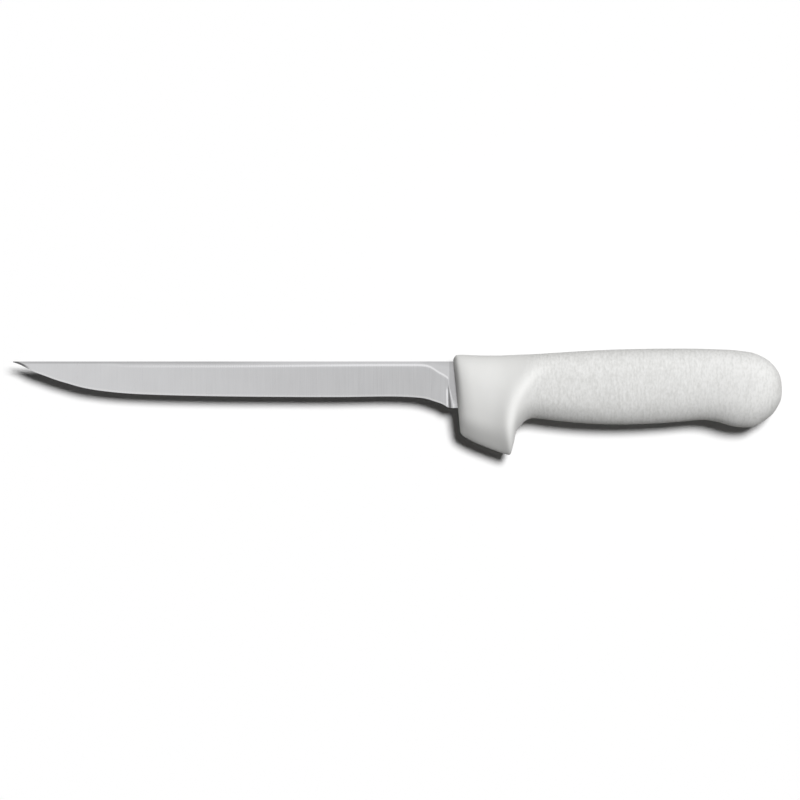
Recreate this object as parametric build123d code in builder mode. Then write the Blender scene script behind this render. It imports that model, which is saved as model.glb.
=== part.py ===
from build123d import *
from math import copysign, cos, exp, hypot, pi, sin
import os

os.makedirs("parts", exist_ok=True)

# A narrow fillet knife: a ground stainless steel blade with a plastic handle moulded on.
# It lies on its side. X runs along the knife with the tip at -X, Y from the cutting edge up
# to the spine, and Z square to the blade. The origin is at the middle of the surface that
# the knife lies on. Sizes are in millimetres.

# Driving dimensions of the blade
blade_length = 178.0        # tip to the front of the handle
blade_depth = 14.3          # spine to edge along the middle of the blade
heel_depth = 18.7           # spine to edge where the blade meets the handle
stock_thickness = 1.6       # of the steel strip that the blade is cut from
shoulder_thickness = 0.4    # steel left above the honed bevel
hone_width = 0.8            # honed bevel along the cutting edge
spine_strip = 1.7           # unground strip along the spine
strip_relief = 0.01         # belted off each side of that strip, ahead of the flat at the heel
point_length = 75.0         # stretch over which the edge rises to the tip
taper_length = 45.0         # stretch over which the spine thins towards the tip
tip_thickness = 0.5         # steel at the very tip
tip_depth = 0.3
heel_sweep = 22.0           # stretch over which the edge drops to the heel
ricasso_length = 2.4        # unground steel between the grind and the handle
sweep_length = 12.0         # stretch over which the grind line drops to the ricasso
sweep_depth = 5.4           # drop of the grind line along that stretch
wall_slope = 0.7            # how far the end wall of the grind leans towards the tip

# Driving dimensions of the tang inside the handle
tang_length = 92.0          # from the front of the handle
tang_depth = 12.5           # where it leaves the heel
tang_end_depth = 9.0
tang_end_radius = 3.0
tang_thickness = 1.4        # a little under the stock's, so that the ricasso ends in a step
tang_inset = 4.0            # below the spine
tang_shoulder = 4.0         # full-depth steel inside the front of the handle
lock_hole = 5.5             # hole that the plastic fills
lock_hole_count = 3
lock_hole_spacing = 25.0

# Driving dimensions of the handle
handle_length = 131.6       # front face to the end of the butt
handle_depth = 42.8         # back of the handle to the tip of the guard
handle_thickness = 22.0     # across the butt
spine_below_back = 5.2      # highest line of the back down to the blade's spine
ridge_radius = 28.8         # of the ridge between guard and grip, seen from the side
ridge_height = 0.9          # above the side of the grip
ridge_reach = 3.0           # of the ridge's slope into the grip
guard_sink = 2.4            # of the guard's side below the grip's
guard_reach = 5.5           # of the slope from the ridge down to the guard's side
guard_thinning = 5.4        # further sink at the tip of the guard
thinning_start = 12.7       # below the back, from where the guard gets thinner downwards
thinning_end = 18.0         # behind the front of the handle
thinning_fade = 14.0        # stretch behind that over which the thinning ends
squareness = 2.3            # power of the oval sections, where 2 is an ellipse
rib_spans = 12              # points along one side of a rib

# Overrun of every cut
overrun = 5.0

# Places that follow from the sizes
tip_x = -(blade_length + handle_length) / 2
front_x = tip_x + blade_length
back_y = handle_depth / 2
spine_y = back_y - spine_below_back
heel_y = spine_y - heel_depth
middle_z = handle_thickness / 2
half_stock = stock_thickness / 2
plunge_x = front_x - ricasso_length
middle = Plane.XY.offset(middle_z)

# The cutting edge near the tip: places along point_length, and depths as shares of blade_depth
point_shares = (
    (0.0, 0.02), (0.035, 0.084), (0.067, 0.168), (0.099, 0.256), (0.132, 0.329),
    (0.164, 0.389), (0.228, 0.513), (0.292, 0.615), (0.357, 0.713), (0.421, 0.783),
    (0.519, 0.853), (0.625, 0.902), (0.733, 0.930), (1.0, 0.969), (1.25, 0.988),
)

# The cutting edge between the stretches at the tip and at the heel: places along the gap
# between their tables, and depths as shares of blade_depth
body_shares = ((0.22, 0.993), (0.45, 0.997), (0.69, 1.0), (0.85, 1.0))

# The cutting edge near the heel: places along heel_sweep up to the plunge, and depths from
# blade_depth at 0 to heel_depth at 1
heel_shares = (
    (-1.0, 0.0), (-0.26, -0.05), (0.10, -0.04), (0.29, 0.0), (0.47, 0.07), (0.58, 0.155),
    (0.69, 0.32), (0.80, 0.51), (0.90, 0.74), (0.955, 0.91), (1.0, 0.985),
)

# The spine strip narrows with the cube of the place along taper_length, down to this place
tip_strip_share = 0.3

# The grind line from the spine strip down to the ricasso: places back along sweep_length
# from the plunge, and shares of sweep_depth
sweep_shares = ((1.0, 0.0), (0.64, 0.12), (0.47, 0.30), (0.30, 0.51), (0.13, 0.74), (0.03, 1.0))

# Ribs across the handle from front to butt. Each row has the end on the back and the end on
# the underside, as shares of handle_length behind the front and of handle_depth below the
# back, and then the thickness as a share of the thickest rib's.
rib_shares = (
    (-0.009, 0.108, 0.019, 0.790, 0.34),
    (-0.001, 0.070, 0.027, 0.825, 0.60),
    (0.007, 0.060, 0.035, 0.841, 0.735),
    (0.018, 0.058, 0.047, 0.863, 0.84),
    (0.034, 0.059, 0.067, 0.892, 0.92),
    (0.052, 0.061, 0.092, 0.924, 0.95),
    (0.073, 0.064, 0.119, 0.956, 0.965),
    (0.095, 0.065, 0.142, 0.980, 0.965),
    (0.113, 0.065, 0.158, 0.996, 0.965),
    (0.129, 0.065, 0.167, 0.999, 0.965),
    (0.153, 0.063, 0.174, 0.959, 0.96),
    (0.165, 0.061, 0.177, 0.921, 0.955),
    (0.177, 0.060, 0.181, 0.874, 0.945),
    (0.202, 0.056, 0.188, 0.783, 0.92),
    (0.228, 0.054, 0.205, 0.709, 0.90),
    (0.245, 0.051, 0.217, 0.676, 0.885),
    (0.263, 0.048, 0.236, 0.655, 0.875),
    (0.288, 0.043, 0.263, 0.659, 0.87),
    (0.321, 0.037, 0.303, 0.675, 0.87),
    (0.367, 0.027, 0.355, 0.692, 0.885),
    (0.428, 0.017, 0.422, 0.707, 0.91),
    (0.496, 0.008, 0.496, 0.713, 0.94),
    (0.566, 0.003, 0.566, 0.710, 0.95),
    (0.636, 0.000, 0.636, 0.699, 0.945),
    (0.701, 0.000, 0.701, 0.683, 0.935),
    (0.756, 0.002, 0.756, 0.671, 0.93),
    (0.808, 0.007, 0.808, 0.693, 0.955),
    (0.848, 0.013, 0.848, 0.728, 0.985),
    (0.881, 0.024, 0.881, 0.740, 1.00),
    (0.912, 0.040, 0.912, 0.733, 0.99),
    (0.936, 0.070, 0.936, 0.696, 0.94),
    (0.958, 0.110, 0.958, 0.649, 0.84),
    (0.976, 0.163, 0.976, 0.594, 0.70),
    (0.988, 0.214, 0.988, 0.531, 0.52),
    (1.000, 0.340, 1.000, 0.432, 0.14),
)

# The thickest place of every rib, from its end on the back
crest_share = 0.375

# Centre of the ridge, as shares of handle_length and handle_depth, and the two places between
# which the ridge fades out above the finger, as shares of ridge_radius ahead of it
ridge_centre_shares = (0.376, 0.738)
ridge_fade_shares = (0.40, 0.80)


def outline_point(along_share, drop_share):
    """A point of the handle's outline, in the plane of the blade."""
    x = front_x + along_share * handle_length
    return Vector(x, back_y - drop_share * handle_depth, middle_z)


def face_x(y):
    """Where the front face of the handle stands at one height of the knife."""
    back = outline_point(*rib_shares[0][:2])
    under = outline_point(*rib_shares[0][2:4])
    return back.X + (under.X - back.X) * (y - back.Y) / (under.Y - back.Y)


def blade_section(x, depth):
    """A cross-section of the ground blade: spine strip, two ground faces, two honed bevels."""
    along = x - tip_x
    thinning = min(along / taper_length, 1.0)
    half_spine = (tip_thickness + (stock_thickness - tip_thickness) * thinning) / 2 - strip_relief
    half_shoulder = min(shoulder_thickness / 2, half_spine / 2)
    strip = min(spine_strip * max(thinning, tip_strip_share) ** 3, depth / 4)
    shoulder = depth - min(hone_width, depth / 3)
    plane = Plane(origin=(x, spine_y, middle_z), x_dir=(0, 1, 0), z_dir=(1, 0, 0))
    with BuildSketch(plane) as section:
        with BuildLine():
            Polyline(
                (0, -half_spine), (-strip, -half_spine), (-shoulder, -half_shoulder),
                (-depth, 0),
                (-shoulder, half_shoulder), (-strip, half_spine), (0, half_spine),
                close=True,
            )
        make_face()
    return section.sketch


def tang_outline(start_x):
    """Outline of the steel from a start in front of the handle back to the end of the tang."""
    neck_x = front_x + tang_shoulder
    end_x = front_x + tang_length
    top_y = spine_y - tang_inset
    end_y = top_y - (tang_depth - tang_end_depth) / 2
    with BuildSketch(middle.offset(-tang_thickness / 2)) as outline:
        with BuildLine():
            Polyline(
                (start_x, spine_y), (neck_x, spine_y), (neck_x, top_y), (end_x, end_y),
                (end_x, end_y - tang_end_depth), (neck_x, top_y - tang_depth), (neck_x, heel_y),
                (start_x, heel_y), close=True,
            )
        make_face()
        fillet(outline.vertices().sort_by(Axis.X)[-2:], tang_end_radius)
        with Locations(((neck_x + end_x) / 2, end_y - tang_end_depth / 2)):
            with GridLocations(lock_hole_spacing, 0, lock_hole_count, 1):
                Circle(lock_hole / 2, mode=Mode.SUBTRACT)
    return outline.sketch


# Blade: one strip of stainless steel, ground on both faces, with the tang in one piece

blade_sections = []
for along_share, depth_share in point_shares:
    depth = max(depth_share * blade_depth, tip_depth)
    blade_sections.append(blade_section(tip_x + along_share * point_length, depth))
point_end = tip_x + point_shares[-1][0] * point_length
heel_start = plunge_x - (1 - heel_shares[0][0]) * heel_sweep
for along_share, depth_share in body_shares:
    x = point_end + along_share * (heel_start - point_end)
    blade_sections.append(blade_section(x, depth_share * blade_depth))
for along_share, depth_share in heel_shares:
    depth = blade_depth + depth_share * (heel_depth - blade_depth)
    blade_sections.append(blade_section(plunge_x - (1 - along_share) * heel_sweep, depth))
blade_sections.append(blade_section(plunge_x + ricasso_length / 2, heel_depth))

with BuildPart() as blade:
    loft(blade_sections)

    # full-thickness steel above the sweep of the grind line and at the ricasso, from walls
    # that lean towards the tip back to the front face of the handle
    for side in (1, -1):
        with BuildSketch(middle.offset(side * half_stock)):
            with BuildLine():
                sweep = Polyline(
                    [
                        (plunge_x - along_share * sweep_length,
                         spine_y - spine_strip - drop_share * sweep_depth)
                        for along_share, drop_share in sweep_shares
                    ]
                )
                Polyline(
                    sweep @ 1, (plunge_x, heel_y), (face_x(heel_y), heel_y),
                    (face_x(spine_y), spine_y), (plunge_x - sweep_length, spine_y), sweep @ 0,
                )
            make_face()
        extrude(amount=hypot(wall_slope, half_stock), dir=(-wall_slope, 0, -side * half_stock))

    # tang
    add(tang_outline(plunge_x))
    extrude(amount=tang_thickness)

blade.part.label = "blade"
export_step(blade.part, "parts/blade.step")


def rise(value, start, length):
    """A smooth rise from 0 at the start to 1 at the end of a length."""
    share = min(max((value - start) / length, 0.0), 1.0)
    return share ** 2 * (3 - 2 * share)


def guard_height(x, y):
    """Height of the side of the handle over a plain oval, at one place of ridge or guard."""
    ridge_x = front_x + ridge_centre_shares[0] * handle_length
    ridge_y = back_y - ridge_centre_shares[1] * handle_depth
    fade_start, fade_end = ridge_fade_shares
    fade = rise((ridge_x - x) / ridge_radius, fade_start, fade_end - fade_start)
    past_ridge = hypot(min(x - ridge_x, 0), y - ridge_y) - ridge_radius
    if past_ridge > 0 and x < ridge_x:
        grip = 1 / (1 + (past_ridge / guard_reach) ** 2)
        height = ridge_height * fade * grip - guard_sink * (1 - grip)
    else:
        height = ridge_height * fade * exp(-(past_ridge / ridge_reach) ** 2)
    down = max(back_y - thinning_start - y, 0) / (handle_depth - thinning_start)
    left = 1 - rise(x, front_x + thinning_end, thinning_fade)
    return height - guard_thinning * left * down ** 2


def rounded(value):
    """A sine or cosine pushed outwards, which turns an ellipse into a fuller oval."""
    return copysign(abs(value) ** (2 / squareness), value)


def handle_rib(back, under, thickness_share):
    """A cross-section of the handle, from a point of its back to one of its underside."""
    across = back - under
    centre = (back + under) / 2
    plane = Plane(origin=centre, x_dir=across, z_dir=across.cross(Vector(0, 0, 1)))
    with BuildSketch(plane) as rib:
        with BuildLine():
            for side in (1, -1):
                points = []
                for step in range(rib_spans + 1):
                    up = rounded(cos(pi * step / rib_spans))
                    down = crest_share - up * (crest_share if up > 0 else 1 - crest_share)
                    place = back - across * down
                    half_thickness = handle_thickness / 2 + guard_height(place.X, place.Y)
                    reach = thickness_share * half_thickness * rounded(sin(pi * step / rib_spans))
                    points.append((across.length * (1 / 2 - down), side * reach))
                Spline(points, tangents=((0, side), (0, -side)))
        make_face()
    return rib.sketch


# Handle: polypropylene moulded round the tang, with guard, finger notch and butt in one piece

ribs = []
for back_along, back_drop, under_along, under_drop, thickness_share in rib_shares:
    back = outline_point(back_along, back_drop)
    under = outline_point(under_along, under_drop)
    ribs.append(handle_rib(back, under, thickness_share))

with BuildPart() as handle:
    loft(ribs)
    add(tang_outline(front_x - overrun))
    extrude(amount=tang_thickness, mode=Mode.SUBTRACT)

handle.part.label = "handle"
export_step(handle.part, "parts/handle.step")
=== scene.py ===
from math import copysign, cos, exp, hypot, pi, radians, sin

import bpy
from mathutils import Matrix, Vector


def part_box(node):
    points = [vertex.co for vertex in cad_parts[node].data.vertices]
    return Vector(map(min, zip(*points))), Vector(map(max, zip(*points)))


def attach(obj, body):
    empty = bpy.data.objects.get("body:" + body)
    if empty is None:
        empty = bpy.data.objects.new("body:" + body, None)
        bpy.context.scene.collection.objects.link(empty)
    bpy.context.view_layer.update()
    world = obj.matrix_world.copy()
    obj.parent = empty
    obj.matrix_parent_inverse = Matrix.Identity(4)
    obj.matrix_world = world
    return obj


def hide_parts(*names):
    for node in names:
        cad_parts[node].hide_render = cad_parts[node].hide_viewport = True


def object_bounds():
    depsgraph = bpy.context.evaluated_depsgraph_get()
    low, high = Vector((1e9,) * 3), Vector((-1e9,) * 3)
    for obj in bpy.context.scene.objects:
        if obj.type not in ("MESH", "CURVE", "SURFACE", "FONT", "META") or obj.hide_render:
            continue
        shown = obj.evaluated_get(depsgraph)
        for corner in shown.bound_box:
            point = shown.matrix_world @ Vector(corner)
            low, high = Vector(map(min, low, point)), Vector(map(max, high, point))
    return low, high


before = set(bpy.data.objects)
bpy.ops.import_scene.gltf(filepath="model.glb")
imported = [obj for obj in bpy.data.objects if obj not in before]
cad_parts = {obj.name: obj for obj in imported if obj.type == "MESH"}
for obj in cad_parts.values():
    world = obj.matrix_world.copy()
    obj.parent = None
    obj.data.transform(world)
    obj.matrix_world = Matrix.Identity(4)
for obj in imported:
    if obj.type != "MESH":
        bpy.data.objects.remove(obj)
cad_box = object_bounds()

# The blade. One strip of stainless steel, stamped out, ground thin on both faces from a line
# just under the spine, and honed to an edge. A flat of full thickness is left at the heel, and
# the steel goes on inside the handle as a tang with lock holes.

tip_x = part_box("blade")[0].x
spine_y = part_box("blade")[1].y
middle_z = (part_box("blade")[0].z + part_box("blade")[1].z) / 2
blade_length = 0.178
blade_depth = 0.0143
heel_depth = 0.0187
half_stock = 0.0008
half_shoulder = 0.0002
hone_width = 0.0008
spine_strip = 0.0017
spine_round = 0.00018
half_edge = 0.00001
point_length = 0.075
taper_length = 0.045
half_tip = 0.00025
tip_depth = 0.0003
tip_strip_share = 0.3
heel_sweep = 0.022
ricasso_length = 0.0024
sweep_length = 0.012
sweep_depth = 0.0054
strip_loss = 0.00055
wall_width = 0.0009
strip_loss_stretch = (0.075, 0.155)
front_x = tip_x + blade_length
plunge_x = front_x - ricasso_length

# The cutting edge from the point over the body to the heel, and the grind line where it sweeps
# down, as pairs of shares of the lengths and depths above: how far along, and how far down.
point_shares = (
    (0.0, 0.02), (0.035, 0.084), (0.067, 0.168), (0.099, 0.256), (0.132, 0.329),
    (0.164, 0.389), (0.228, 0.513), (0.292, 0.615), (0.357, 0.713), (0.421, 0.783),
    (0.519, 0.853), (0.625, 0.902), (0.733, 0.930), (1.0, 0.969), (1.25, 0.988),
)
body_shares = ((0.22, 0.993), (0.45, 0.997), (0.69, 1.0), (0.85, 1.0))
heel_shares = (
    (-1.0, 0.0), (-0.26, -0.05), (0.10, -0.04), (0.29, 0.0), (0.47, 0.07), (0.58, 0.155),
    (0.69, 0.32), (0.80, 0.51), (0.90, 0.74), (0.955, 0.91), (1.0, 0.985),
)
sweep_shares = (
    (-2.0, 0.0), (0.0, 0.0), (0.36, 0.14), (0.53, 0.36), (0.70, 0.60), (0.87, 0.82), (0.97, 1.0),
)

# The rows of the blade's mesh, as shares of the strip along the spine, of the wall under the
# grind line and of the ground face, and its columns, which are closer together at both ends.
flat_shares = (0.4, 0.75, 0.93)
wall_shares = (0.15, 0.35, 0.6, 0.8, 1.0)
ground_shares = (0.08, 0.2, 0.33, 0.46, 0.59, 0.72, 0.85, 0.95, 0.99, 1.0)
round_share = 0.3
tip_columns = (0, 0.0002, 0.0005, 0.001, 0.0016, 0.0023, 0.0031)
body_step = 0.0012
sweep_step = 0.0004
sweep_stretch = 0.016
plunge_step = 0.0001
plunge_stretch = 0.002
ricasso_stretch = 0.0013
lean_stretch = (0.006, 0.002)

# Painted highlights and painted shade on the steel, from 0 to 1, in place of its reflections and
# shading: highlights on the honed bevel, the line under the strip, the foot of the wall and a
# wedge behind it, and shade in the groove past the wall, under the spine and at the point. A
# stretch runs along the blade from the tip, a top is a depth below the spine, and a band begins,
# is full, fades and ends.
honed_bright = 0.2
honed_stretch = (0.004, 0.012)
honed_blur = 0.0001
line_band = (-0.0003, 0.0001, 0.0004, 0.0010)
line_bright = (0.25, 0.62)
line_stretch = (0.030, 0.060)
line_growth = (0.05, 0.15)
foot_band = (-0.0011, -0.0008, -0.0003, 0.0)
foot_bright = 0.75
foot_fade_in = (0.0100, 0.0122)
wedge_width = (0.0004, 0.0017)
wedge_top = 0.0095
wedge_blur = 0.0004
wedge_bright = 0.55
groove_width = 0.0008
groove_top = 0.0085
groove_blur = 0.0002
groove_fade_in = (0.0090, 0.0110)
groove_dark = 0.62
spine_dark = 0.25
spine_dark_stretch = (0.075, 0.115)
heel_spine_dark = 0.13
heel_spine_stretch = (0.162, 0.168)
spine_dark_width = (0.0006, 0.0011)
spine_dark_start = (0.001, 0.004)
point_dark = 0.8
point_stretch = (0.004, 0.0075)
point_width = (0.0011, 0.0007)


class Reading:
    """A value that varies over a surface. Arithmetic on it adds Math nodes to its finish."""

    def __init__(self, finish, socket):
        self.finish = finish
        self.socket = socket

    def maths(self, operation, *values):
        sockets = dict(enumerate(values))
        return self.finish.node("ShaderNodeMath", {"operation": operation}, sockets)

    def __add__(self, other):
        return self.maths("ADD", self, other)

    def __radd__(self, other):
        return self.maths("ADD", other, self)

    def __sub__(self, other):
        return self.maths("SUBTRACT", self, other)

    def __rsub__(self, other):
        return self.maths("SUBTRACT", other, self)

    def __mul__(self, other):
        return self.maths("MULTIPLY", self, other)

    def __rmul__(self, other):
        return self.maths("MULTIPLY", other, self)

    def __abs__(self):
        return self.maths("ABSOLUTE", self)

    def step(self, low, high):
        """0 below low and 1 above high, with a smooth rise between."""
        settings = {"interpolation_type": "SMOOTHSTEP"}
        return self.finish.node("ShaderNodeMapRange", settings, {0: self, 1: low, 2: high})


class Finish:
    """The nodes of a material, or of the light round the knife."""

    def __init__(self, block, shader, constants):
        block.use_nodes = True
        self.block = block
        self.tree = block.node_tree
        self.shader = self.tree.nodes[shader]
        for name, value in constants.items():
            self.shader.inputs[name].default_value = value

    def node(self, kind, settings, sockets, output=0):
        """One node: its settings first, then the values or links of its sockets."""
        made = self.tree.nodes.new(kind)
        for name, value in settings.items():
            setattr(made, name, value)
        for name, value in sockets.items():
            if isinstance(value, Reading):
                self.tree.links.new(value.socket, made.inputs[name])
            else:
                made.inputs[name].default_value = value
        return Reading(self, made.outputs[output])

    def place(self):
        """The place on the knife, in metres, as three readings."""
        place = self.node("ShaderNodeTexCoord", {}, {}, "Object")
        return [self.node("ShaderNodeSeparateXYZ", {}, {0: place}, axis) for axis in range(3)]

    def mark(self, name):
        """A value that was written on the mesh, point by point."""
        return self.node("ShaderNodeAttribute", {"attribute_name": name}, {}, "Fac")

    def noise(self, place, scales, detail=2.0):
        """Noise round 0.5, with its own scale along each axis, per metre."""
        scaled = dict(enumerate(reading * scale for reading, scale in zip(place, scales)))
        sockets = {"Vector": self.node("ShaderNodeCombineXYZ", {}, scaled)}
        sockets.update({"Scale": 1.0, "Detail": detail})
        return self.node("ShaderNodeTexNoise", {}, sockets)

    def blend(self, share, first, second):
        """A colour between two others."""
        sockets = {0: share, 6: first, 7: second}
        return self.node("ShaderNodeMix", {"data_type": "RGBA"}, sockets, 2)

    def feed(self, socket, value):
        self.tree.links.new(value.socket, self.shader.inputs[socket])

    def bump(self, height, distance):
        """Turns the surface's normal by a height of 0 to 1 that stands for a distance."""
        sockets = {"Height": height, "Distance": distance, "Strength": 1.0}
        self.feed("Normal", self.node("ShaderNodeBump", {}, sockets))


def curve(knots, places):
    """Values at rising places, on a natural cubic through the knots' places and values."""
    at = [knot[0] for knot in knots]
    value = [knot[1] for knot in knots]
    last = len(knots) - 1
    gap = [at[k + 1] - at[k] for k in range(last)]
    rise = [(value[k + 1] - value[k]) / gap[k] for k in range(last)]
    bend = [0.0] * len(knots)
    pull = [0.0] * len(knots)
    for k in range(1, last):
        pivot = 2 * (gap[k - 1] + gap[k]) - gap[k - 1] * pull[k - 1]
        pull[k] = gap[k] / pivot
        bend[k] = (6 * (rise[k] - rise[k - 1]) - gap[k - 1] * bend[k - 1]) / pivot
    for k in range(last - 1, 0, -1):
        bend[k] -= pull[k] * bend[k + 1]
    values = []
    k = 0
    for place in places:
        while k < last - 1 and place > at[k + 1]:
            k += 1
        past = place - at[k]
        slope = rise[k] - gap[k] * (2 * bend[k] + bend[k + 1]) / 6
        twist = (bend[k + 1] - bend[k]) / gap[k]
        values.append(value[k] + past * (slope + past * (bend[k] / 2 + past * twist / 6)))
    return values


def between(low, high, share):
    return low + (high - low) * share


def rise(value, low, high):
    """0 below low and 1 above high, with a smooth rise between."""
    share = min(max((value - low) / (high - low), 0.0), 1.0)
    return share * share * (3 - 2 * share)


def band(value, begins, full, fades, ends):
    """0 before it begins and after it ends, and 1 from full to fades."""
    return rise(value, begins, full) * (1 - rise(value, fades, ends))


def skin(name, rings, marks=None):
    """A closed mesh over closed rings of points, with flat ends."""
    width = len(rings[0])
    points = [point for ring in rings for point in ring]
    faces = [tuple(range(width))[::-1], tuple(range(len(points) - width, len(points)))]
    for row in range(len(rings) - 1):
        for column in range(width):
            a = row * width + column
            b = row * width + (column + 1) % width
            faces.append((a, b, b + width, a + width))
    mesh = bpy.data.meshes.new(name)
    mesh.from_pydata(points, [], faces)
    for mark, values in (marks or {}).items():
        mesh.attributes.new(mark, "FLOAT", "POINT").data.foreach_set("value", values)
    mesh.shade_smooth()
    made = bpy.data.objects.new(name, mesh)
    bpy.context.scene.collection.objects.link(made)
    return made


def cut(piece, cutters, sharp_angle):
    """Takes the cutters out of a piece, and marks its sharp edges."""
    for cutter in cutters:
        tool = piece.modifiers.new("cut", "BOOLEAN")
        tool.operation = "DIFFERENCE"
        tool.solver = "EXACT"
        tool.object = cutter
    seen = piece.evaluated_get(bpy.context.evaluated_depsgraph_get())
    mesh = bpy.data.meshes.new_from_object(seen)
    piece.modifiers.clear()
    piece.data = mesh
    mesh.name = piece.name
    mesh.shade_smooth()
    mesh.set_sharp_from_angle(angle=sharp_angle)


# The depth of the edge and the drop of the grind line at each column of the mesh
columns = [tip_x + along for along in tip_columns]
while columns[-1] < plunge_x - plunge_stretch:
    left = plunge_x - columns[-1]
    columns.append(columns[-1] + (body_step if left > sweep_stretch else sweep_step))
while columns[-1] < plunge_x + ricasso_stretch:
    columns.append(columns[-1] + plunge_step)

depth_knots = [(tip_x + along * point_length, max(share * blade_depth, tip_depth))
               for along, share in point_shares]
point_end = depth_knots[-1][0]
heel_start = plunge_x - (1 - heel_shares[0][0]) * heel_sweep
depth_knots += [(between(point_end, heel_start, along), share * blade_depth)
                for along, share in body_shares]
depth_knots += [(plunge_x - (1 - along) * heel_sweep, between(blade_depth, heel_depth, share))
                for along, share in heel_shares]
depth_knots.append((plunge_x + ricasso_length / 2, heel_depth))
depths = curve(depth_knots, columns)
sweep_knots = [(plunge_x - (1 - along) * sweep_length, share * sweep_depth)
               for along, share in sweep_shares]
corner_x = sweep_knots[-1][0]
corner_depth = spine_strip - strip_loss + sweep_depth
drops = curve(sweep_knots, columns)


def painted_steel_light(x, down, line, shoulder, depth):
    """The painted highlight and the painted shade on the steel at one place."""
    along = x - tip_x
    past = x - corner_x
    honed = rise(down, shoulder - honed_blur, shoulder + honed_blur) * rise(along, *honed_stretch)
    edged = band(down - line, *line_band) * rise(along, *line_stretch)
    edged *= between(*line_bright, rise(along, *line_growth))
    low = rise(down, *foot_fade_in)
    foot = foot_bright * low * band(past, *foot_band)
    wedge = between(*wedge_width, rise(down, wedge_top, heel_depth))
    shine = wedge_bright * low * band(past, wedge - wedge_blur, wedge, wedge, wedge + wedge_blur)
    ahead = x < corner_x
    bright = max(honed_bright * honed * ahead, edged * ahead, foot, shine)
    width = groove_width * rise(down, groove_top, heel_depth)
    groove = band(past, -groove_blur, 0.0, width, width + groove_blur)
    groove *= groove_dark * rise(down, *groove_fade_in)
    under_spine = spine_dark * (1 - rise(along, *spine_dark_stretch))
    under_spine += heel_spine_dark * rise(along, *heel_spine_stretch)
    under_spine *= rise(along, *spine_dark_start) * (1 - rise(down, *spine_dark_width))
    point = point_dark * (1 - rise(along, *point_stretch))
    point *= rise(down, depth - point_width[0], depth - point_width[1])
    return bright * (1 - groove), max(groove, under_spine, point)


blade_rings = []
blade_marks = []
for x, depth, drop in zip(columns, depths, drops):
    depth = min(depth, heel_depth)
    along = x - tip_x
    thinning = min(along / taper_length, 1.0)
    half_spine = between(half_tip, half_stock, thinning)
    strip = min(spine_strip * max(thinning, tip_strip_share) ** 3, depth / 4)
    strip -= strip_loss * rise(along, *strip_loss_stretch)
    sweeping = x > plunge_x - sweep_length
    line = strip + min(max(drop, 0.0), sweep_depth) if sweeping else strip
    shoulder = depth - min(hone_width, depth / 3)
    thin = min(half_shoulder, half_spine / 2)
    corner = min(spine_round, strip * flat_shares[0], half_spine * flat_shares[0])
    wall = min(wall_width, (shoulder - line) / 3)
    rows = [0.0, corner * round_share, corner]
    rows += [between(corner, line, share) for share in flat_shares] + [line]
    rows += [line + wall * share for share in wall_shares]
    rows += [between(line + wall, shoulder, share) for share in ground_shares]
    rows += [between(shoulder, depth, 0.5), depth]
    upper = []
    for row, down in enumerate(rows):
        lean = 0.0
        if down > corner_depth:
            lean = (down - corner_depth) / (heel_depth - corner_depth) * (plunge_x - corner_x)
            lean *= rise(x, plunge_x - lean_stretch[0], plunge_x - lean_stretch[1])
        if down > shoulder:
            ground = between(thin, half_edge, (down - shoulder) / (depth - shoulder))
        else:
            ground = between(half_spine, thin, max(down - strip, 0.0) / (shoulder - strip))
        if x >= corner_x:
            half = half_spine - (corner if down > heel_depth - corner else 0.0)
        elif down > line:
            away = min(corner_x - x, down - line)
            full = (1 - min(away / wall_width, 1.0)) ** 2 if sweeping else 0.0
            half = between(ground, half_spine, full)
        else:
            half = half_spine
        if row < 2:
            half -= corner * (1.0, round_share)[row]
        upper.append((x + lean, spine_y - down, half))
    blade_rings.append([(at, y, middle_z + half) for at, y, half in upper]
                       + [(at, y, middle_z - half) for at, y, half in upper[::-1]])
    side_marks = [painted_steel_light(x, down, line, shoulder, depth) for down in rows]
    blade_marks += side_marks + side_marks[::-1]

# The tang. The steel keeps its full depth just inside the handle, then gets narrower, and
# tapers to a round end.
ricasso_run = 0.0006
tang_length = 0.092
tang_depth = 0.0125
tang_end_depth = 0.009
tang_end_radius = 0.003
tang_end_steps = 6
half_tang = 0.0007
tang_inset = 0.004
tang_shoulder = 0.004
lock_hole = 0.0055
lock_hole_count = 3
lock_hole_spacing = 0.025
lock_hole_points = 40
drill_reach = 0.002
blade_sharp_angle = radians(28)
run_x = front_x + ricasso_run
tang_x = front_x + tang_shoulder
end_x = front_x + tang_length
count = len(blade_rings[0]) // 2


def steel_ring(x, top, bottom, half):
    """A rectangle across the steel, with the points of the blade's rings."""
    places = [(x, between(top, bottom, row / (count - 1))) for row in range(count)]
    return ([(x, y, middle_z + half) for x, y in places]
            + [(x, y, middle_z - half) for x, y in places[::-1]])


heel_y = spine_y - heel_depth
top_y = spine_y - tang_inset
end_top_y = top_y - (tang_depth - tang_end_depth) / 2
blade_rings.append([(run_x, y, z) for x, y, z in blade_rings[-1]])
blade_rings.append(steel_ring(run_x, spine_y, heel_y, half_tang))
blade_rings.append(steel_ring(tang_x, spine_y, heel_y, half_tang))
blade_rings.append(steel_ring(tang_x, top_y, top_y - tang_depth, half_tang))
for step in range(tang_end_steps + 1):
    turn = pi / 2 * step / tang_end_steps
    round_x = end_x - tang_end_radius * (1 - sin(turn))
    inset = tang_end_radius * (1 - cos(turn))
    low_y = end_top_y - tang_end_depth + inset
    blade_rings.append(steel_ring(round_x, end_top_y - inset, low_y, half_tang))
blade_marks += [(0.0, 0.0)] * (len(blade_rings) - len(columns)) * 2 * count
painted_glint, painted_steel_shade = zip(*blade_marks)

blade = skin("blade_steel", blade_rings, {"painted_glint": painted_glint, "painted_steel_shade": painted_steel_shade})
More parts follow.
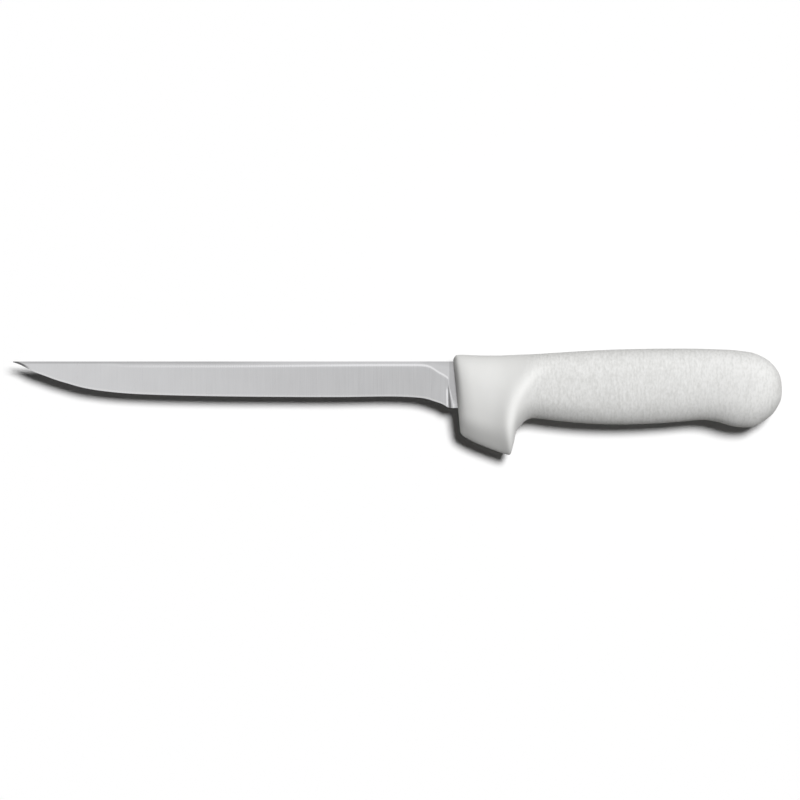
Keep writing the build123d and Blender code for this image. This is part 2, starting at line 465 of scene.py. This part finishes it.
# The lock holes are drilled through the tang, and the plastic of the handle fills them.
drills = []
for hole in range(lock_hole_count):
    hole_x = (tang_x + end_x) / 2 + (hole - (lock_hole_count - 1) / 2) * lock_hole_spacing
    hole_y = end_top_y - tang_end_depth / 2
    turns = [2 * pi * k / lock_hole_points for k in range(lock_hole_points)]
    circle = [(hole_x + lock_hole / 2 * cos(turn), hole_y + lock_hole / 2 * sin(turn))
              for turn in turns]
    ends = [[(x, y, middle_z + z) for x, y in circle] for z in (-drill_reach, drill_reach)]
    drills.append(skin(f"drill_{hole}", ends))
cut(blade, drills, blade_sharp_angle)
for drill in drills:
    bpy.data.objects.remove(drill)

# The satin of the steel. Brightness is 0 to 1. The ground faces are painted darker towards the
# heel as painted shade, and the scratches of the wheel show more there. The rolled flats have
# finer, lengthwise marks.
ground_bright = 0.615
heel_painted_shade = 0.105
streak_scales = (3000, 60, 60)
streak_detail = 3.0
streak_bright = 0.05
streak_growth = 0.06
streak_height = 0.000004
patch_scales = (130, 90, 90)
patch_bright = 0.04
rolled_bright = 0.585
rolled_scales = (400, 2600, 40)
rolled_change = 0.05
rolled_blur = (0.00006, 0.00002)
ricasso_loss = 0.12
ricasso_blur = (-0.0001, 0.0003)
painted_glint_bright = 0.93
steel_roughness = 0.30
glint_roughness_loss = 0.10
streak_roughness = 0.12
black = (0, 0, 0, 1)
steel_white = (0.995, 0.995, 1.01, 1)

steel = Finish(bpy.data.materials.new("satin_steel"), "Principled BSDF", {"Metallic": 1.0})
place = steel.place()
x, y, z = place
toward_heel = x.step(tip_x, front_x)
streaks = steel.noise(place, streak_scales, streak_detail) - 0.5
patches = steel.noise(place, patch_scales) - 0.5
scratches = streaks * (streak_bright + streak_growth * toward_heel)
# Painted shade: the ground faces darken towards the heel.
ground = ground_bright - heel_painted_shade * toward_heel + scratches + patch_bright * patches
flat = abs(z - middle_z).step(half_stock - rolled_blur[0], half_stock - rolled_blur[1])
rolled = rolled_bright + rolled_change * (steel.noise(place, rolled_scales) - 0.5)
ricasso = x.step(plunge_x + ricasso_blur[0], plunge_x + ricasso_blur[1])
body = ground + (rolled - ricasso_loss * ricasso - ground) * flat * toward_heel
# Painted highlights and painted shade, written on the mesh, lighten and darken the steel.
bright = body + (painted_glint_bright - body) * steel.mark("painted_glint")
shaded = bright * (1 - steel.mark("painted_steel_shade"))
steel.feed("Base Color", steel.blend(shaded, black, steel_white))
smoothed = steel_roughness - glint_roughness_loss * steel.mark("painted_glint")
steel.feed("Roughness", smoothed + streak_roughness * streaks)
steel.bump(streaks + 0.5, streak_height)
blade.data.materials.clear()
blade.data.materials.append(steel.block)
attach(blade, "root")
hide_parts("blade")

# The handle. One piece of white polypropylene, injection-moulded round the tang, with the
# finger guard, the finger notch and the butt in the same moulding. The guard is smooth, and the
# grip has a fine rough texture.

handle_length = 0.1316
handle_depth = 0.0428
half_handle = 0.01096
ridge_radius = 0.0288
ridge_height = 0.0009
ridge_reach = 0.0026
guard_sink = 0.0024
guard_reach = 0.0055
guard_thinning = 0.0054
thinning_start = 0.0127
thinning_end = 0.018
thinning_fade = 0.014
squareness = 2.3
lower_squareness = 2.08
crest_share = 0.375
handle_sharp_angle = radians(40)
back_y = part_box("handle")[0].y + handle_depth

# Ribs across the handle from front to butt. Each row has the end on the back and the end on
# the underside, as shares of handle_length behind the front and of handle_depth below the
# back, and then the thickness as a share of the thickest rib's.
rib_shares = (
    (-0.006, 0.104, 0.0165, 0.790, 0.34),
    (0.001, 0.069, 0.026, 0.825, 0.60),
    (0.007, 0.060, 0.035, 0.841, 0.735),
    (0.018, 0.058, 0.047, 0.863, 0.84),
    (0.034, 0.059, 0.067, 0.892, 0.92),
    (0.052, 0.061, 0.092, 0.924, 0.95),
    (0.073, 0.064, 0.119, 0.956, 0.965),
    (0.095, 0.065, 0.142, 0.980, 0.965),
    (0.113, 0.065, 0.158, 0.996, 0.965),
    (0.129, 0.065, 0.167, 0.999, 0.965),
    (0.153, 0.063, 0.174, 0.959, 0.96),
    (0.165, 0.061, 0.177, 0.921, 0.955),
    (0.177, 0.060, 0.181, 0.874, 0.945),
    (0.202, 0.056, 0.188, 0.783, 0.92),
    (0.228, 0.054, 0.205, 0.709, 0.90),
    (0.245, 0.051, 0.217, 0.676, 0.885),
    (0.263, 0.048, 0.236, 0.655, 0.875),
    (0.288, 0.043, 0.263, 0.659, 0.87),
    (0.321, 0.037, 0.303, 0.675, 0.87),
    (0.367, 0.027, 0.355, 0.692, 0.885),
    (0.428, 0.017, 0.422, 0.707, 0.91),
    (0.496, 0.008, 0.496, 0.713, 0.94),
    (0.566, 0.003, 0.566, 0.710, 0.95),
    (0.636, 0.000, 0.636, 0.699, 0.945),
    (0.701, 0.000, 0.701, 0.683, 0.935),
    (0.756, 0.002, 0.756, 0.671, 0.93),
    (0.808, 0.007, 0.808, 0.693, 0.955),
    (0.848, 0.013, 0.848, 0.728, 0.985),
    (0.881, 0.024, 0.881, 0.740, 1.00),
    (0.912, 0.040, 0.912, 0.733, 0.99),
    (0.936, 0.070, 0.936, 0.696, 0.94),
    (0.958, 0.110, 0.958, 0.652, 0.84),
    (0.976, 0.163, 0.976, 0.600, 0.70),
    (0.988, 0.214, 0.988, 0.541, 0.52),
    (0.996, 0.275, 0.996, 0.490, 0.31),
    (1.000, 0.360, 1.000, 0.425, 0.08),
)
ridge_centre_shares = (0.376, 0.738)
ridge_fade_shares = (0.40, 0.80)
ring_step = 0.0007
ring_points = 88

# Painted light on the handle, from 0 to 1. A painted highlight lies just inside the ridge's
# crest.
# Painted shade darkens the side at its lower edge, most at the guard, and at the top corner of
# the front. A stretch runs along the handle from its front, and a pair of shares runs down its
# side.
highlight_width = 0.0018
under_shade = 0.34
under_shade_loss = 0.19
under_shade_stretch = (0.004, 0.028)
grip_shade_loss = 0.08
grip_shade_stretch = (0.045, 0.065)
under_edge_shares = (0.68, 0.90)
corner_shade = 0.35
corner_stretch = (-0.0004, 0.0012)
corner_shares = (0.03, 0.10)


def rounded(value, square):
    """A sine or cosine pushed outwards, which turns an ellipse into a fuller oval."""
    return copysign(abs(value) ** (2 / square), value)


def ridge_place(x, y):
    """How far a place lies outside the ridge's arc, and how much of the ridge is left there."""
    ridge_x = front_x + ridge_centre_shares[0] * handle_length
    ridge_y = back_y - ridge_centre_shares[1] * handle_depth
    outside = hypot(min(x - ridge_x, 0), y - ridge_y) - ridge_radius
    if x > ridge_x:
        outside = min(outside, 0)
    return outside, rise((ridge_x - x) / ridge_radius, *ridge_fade_shares)


def guard_height(x, y):
    """Height of the side of the handle over a plain oval, at the ridge and the guard."""
    outside, left = ridge_place(x, y)
    if outside > 0:
        grip = 1 / (1 + (outside / guard_reach) ** 2)
        height = ridge_height * left * grip - guard_sink * (1 - grip)
    else:
        height = ridge_height * left * exp(-(outside / ridge_reach) ** 2)
    down = max(back_y - thinning_start - y, 0) / (handle_depth - thinning_start)
    guard_left = 1 - rise(x, front_x + thinning_end, front_x + thinning_end + thinning_fade)
    return height - guard_thinning * guard_left * down ** 2


def handle_painted_light(x, y, back_x, down):
    """The painted highlight and the painted shade on the handle at one place, on the rib that
    starts at back_x, a share of the way down."""
    outside, left = ridge_place(x, y)
    ridge_highlight = left * exp(-((outside + highlight_width) / highlight_width) ** 2)
    along = x - front_x
    under = under_shade - under_shade_loss * rise(along, *under_shade_stretch)
    under -= grip_shade_loss * rise(along, *grip_shade_stretch)
    under *= rise(down, *under_edge_shares)
    corner = corner_shade * (1 - rise(back_x - front_x, *corner_stretch))
    corner *= 1 - rise(down, *corner_shares)
    return ridge_highlight, max(under, corner)


def handle_ring(back_x, back_y, under_x, under_y, thickness):
    """A closed ring round the handle, from the back over the upper side to the underside,
    and the painted highlight and painted shade at each of its points."""
    ring = []
    painted_light = []
    for k in range(ring_points):
        turn = 2 * pi * k / ring_points
        square = squareness if cos(turn) > 0 else lower_squareness
        up = rounded(cos(turn), square)
        down = crest_share - up * (crest_share if up > 0 else 1 - crest_share)
        x = between(back_x, under_x, down)
        y = between(back_y, under_y, down)
        reach = thickness * (half_handle + guard_height(x, y)) * rounded(sin(turn), square)
        ring.append((x, y, middle_z + reach))
        painted_light.append(handle_painted_light(x, y, back_x, down))
    return ring, painted_light


ribs = [(front_x + back_along * handle_length, back_y - back_drop * handle_depth,
         front_x + under_along * handle_length, back_y - under_drop * handle_depth, thickness)
        for back_along, back_drop, under_along, under_drop, thickness in rib_shares]
travel = [0.0]
for before, after in zip(ribs, ribs[1:]):
    back_step = hypot(after[0] - before[0], after[1] - before[1])
    under_step = hypot(after[2] - before[2], after[3] - before[3])
    side_step = half_handle * abs(after[4] - before[4])
    travel.append(travel[-1] + (back_step + under_step) / 2 + side_step)
ring_count = round(travel[-1] / ring_step)
places = [travel[-1] * k / ring_count for k in range(ring_count + 1)]
lines = [curve(list(zip(travel, values)), places) for values in zip(*ribs)]
skins, painted_lights = zip(*[handle_ring(*values) for values in zip(*lines)])

# The front face closes in to a shallow mouth round the blade. The mouth's rings go from its
# bottom outwards, each with its gap round the blade and its depth in the face.
mouth_rings = ((0.00025, 0.0008), (0.00025, 0.0004), (0.00033, 0.0001), (0.00055, 0.0))
mouth_squareness = 9.0
face_shares = (0.25, 0.5, 0.75, 0.9)
front = skins[0]
front_foot = front[ring_points // 2]
front_lean = (front[0][0] - front_foot[0]) / (front[0][1] - front_foot[1])


def mouth_ring(gap, inward):
    """A near rectangle round the blade in the front face, or further in."""
    ring = []
    for k in range(ring_points):
        turn = 2 * pi * k / ring_points
        up = rounded(cos(turn), mouth_squareness) * (heel_depth / 2 + gap)
        out = rounded(sin(turn), mouth_squareness) * (half_stock + gap)
        y = spine_y - heel_depth / 2 + up
        x = front[0][0] + (y - front[0][1]) * front_lean + inward
        ring.append((x, y, middle_z + out))
    return ring


mouth = [mouth_ring(gap, inward) for gap, inward in mouth_rings]
face = [[tuple(between(a, b, share) for a, b in zip(inner, outer))
         for inner, outer in zip(mouth[-1], front)] for share in face_shares]
handle_rings = mouth + face + list(skins)
painted_lights = [painted_lights[0]] * (len(mouth) + len(face)) + list(painted_lights)
ridge_highlight, painted_handle_shade = zip(*[point for painted_light in painted_lights for point in painted_light])
handle = skin("handle_grip", handle_rings, {"ridge_highlight": ridge_highlight, "painted_handle_shade": painted_handle_shade})
cut(handle, [blade], handle_sharp_angle)

# The texture of the mould: short hairs along the handle and a finer grain, on the grip alone,
# with broad clouds of tone, a butt painted paler as painted light, and a parting line along the
# middle.
grip_stretch = (0.024, 0.036)
butt_stretch = (0.080, 0.120)
hair_scales = (950, 200, 200)
hair_detail = 3.0
hair_height = 0.75
hair_tone = 1.5
grain_scales = (1300, 700, 700)
grain_height = 0.25
grain_tone = 1.8
smooth_height = 0.5
smooth_grain = 0.06
cloud_scales = (90, 60, 60)
cloud_tone = 0.35
butt_painted_light = 0.3
middle_tone = 0.5
darker_white = (0.675, 0.675, 0.66, 1)
paler_white = (0.83, 0.83, 0.82, 1)
highlight_white = (1.0, 1.0, 0.985, 1)
highlight_share = 0.85
plastic_roughness = 0.40
grip_roughness = 0.14
cloud_roughness = 0.05
seam_blur = (0.00008, 0.0002)
seam_height = 0.6
texture_height = 0.00009

plastic = Finish(bpy.data.materials.new("white_polypropylene"), "Principled BSDF", {"IOR": 1.49})
place = plastic.place()
x, y, z = place
grip = x.step(front_x + grip_stretch[0], front_x + grip_stretch[1])
butt = x.step(front_x + butt_stretch[0], front_x + butt_stretch[1])
hairs = plastic.noise(place, hair_scales, hair_detail)
grain = plastic.noise(place, grain_scales)
cloud = plastic.noise(place, cloud_scales) - 0.5
rough_texture = hairs * hair_height + grain * grain_height
texture = grip * rough_texture + (1 - grip) * (smooth_height + smooth_grain * grain)
grip_tone = hair_tone * (hairs - 0.5) + grain_tone * (grain - 0.5)
# The butt's tone is raised as painted light.
tone = middle_tone + cloud_tone * cloud + butt_painted_light * butt + grip * grip_tone
colour = plastic.blend(tone, darker_white, paler_white)
# A painted highlight just inside the ridge, and painted shade at the lower edge and the front's
# top corner.
colour = plastic.blend(highlight_share * plastic.mark("ridge_highlight"), colour, highlight_white)
plastic.feed("Base Color", plastic.blend(plastic.mark("painted_handle_shade"), colour, black))
plastic.feed("Roughness", plastic_roughness + grip_roughness * grip + cloud_roughness * cloud)
seam = 1 - abs(z - middle_z).step(*seam_blur)
plastic.bump(texture + seam_height * seam, texture_height)
handle.data.materials.clear()
handle.data.materials.append(plastic.block)
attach(handle, "root")
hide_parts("handle")

# The floor, the light and the camera. The floor and what is round it are white. One broad lamp
# stands high over the back and the butt, and the camera looks straight down through a long lens.

half_floor = 20.0
floor_z = cad_box[0].z
paper_bounce = (0.27, 0.265, 0.25, 1)
paper_white = (1, 1, 1, 1)
floor_mesh = bpy.data.meshes.new("floor")
floor_mesh.from_pydata([(-half_floor, -half_floor, floor_z), (half_floor, -half_floor, floor_z),
                        (half_floor, half_floor, floor_z), (-half_floor, half_floor, floor_z)],
                       [], [(0, 1, 2, 3)])
floor = bpy.data.objects.new("floor", floor_mesh)
bpy.context.scene.collection.objects.link(floor)
paper = Finish(bpy.data.materials.new("white_paper"), "Principled BSDF", {
    "Roughness": 1.0,
    "Specular IOR Level": 0.0,
})


def seen(finish):
    """1 where the camera sees, straight or in metal or glass."""
    rays = [finish.node("ShaderNodeLightPath", {}, {}, name)
            for name in ("Is Camera Ray", "Is Glossy Ray", "Is Transmission Ray")]
    first = finish.node("ShaderNodeLightPath", {}, {}, "Diffuse Depth")
    return (rays[0] + rays[1] + rays[2]).step(0.0, 1.0) * (1 - first.step(0.0, 1.0))


paper.feed("Base Color", paper.blend(seen(paper), paper_bounce, paper_white))
floor_mesh.materials.append(paper.block)

# What is round the knife gives little light. In the steel it shows as white overhead and grey
# low down.
sky_light = 0.037
low_light = 0.45
overhead_height = 0.75
studio = Finish(bpy.data.worlds.new("studio"), "Background", {"Color": (1, 1, 1, 1)})
bpy.context.scene.world = studio.block
gaze = studio.node("ShaderNodeTexCoord", {}, {}, "Generated")
height = studio.node("ShaderNodeSeparateXYZ", {}, {0: gaze}, 2)
overhead = height.step(0.0, overhead_height)
straight = studio.node("ShaderNodeLightPath", {}, {}, "Is Camera Ray")
overhead = overhead.maths("MAXIMUM", overhead, straight)
shown_light = low_light - sky_light + (1 - low_light) * overhead
studio.feed("Strength", sky_light + seen(studio) * shown_light)

lamp_direction = Vector((0.26, 0.29, 0.91)).normalized()
lamp_angle = 0.30
lamp = bpy.data.objects.new("lamp", bpy.data.lights.new("lamp", "SUN"))
bpy.context.scene.collection.objects.link(lamp)
lamp.rotation_euler = lamp_direction.to_track_quat("Z", "Y").to_euler()
lamp.data.angle = lamp_angle
lamp.data.energy = (1 - sky_light) * pi / lamp_direction.z
lamp.visible_glossy = False

view_width = 0.32216
view_centre = (0.00105, 0.00069)
camera_height = 2.5
sensor_width = 36.0
camera = bpy.data.objects.new("camera", bpy.data.cameras.new("camera"))
bpy.context.scene.collection.objects.link(camera)
camera.location = (*view_centre, middle_z + camera_height)
camera.data.sensor_width = sensor_width
camera.data.lens = sensor_width * camera_height / view_width
bpy.context.scene.camera = camera
bpy.context.scene.view_settings.view_transform = "Standard"
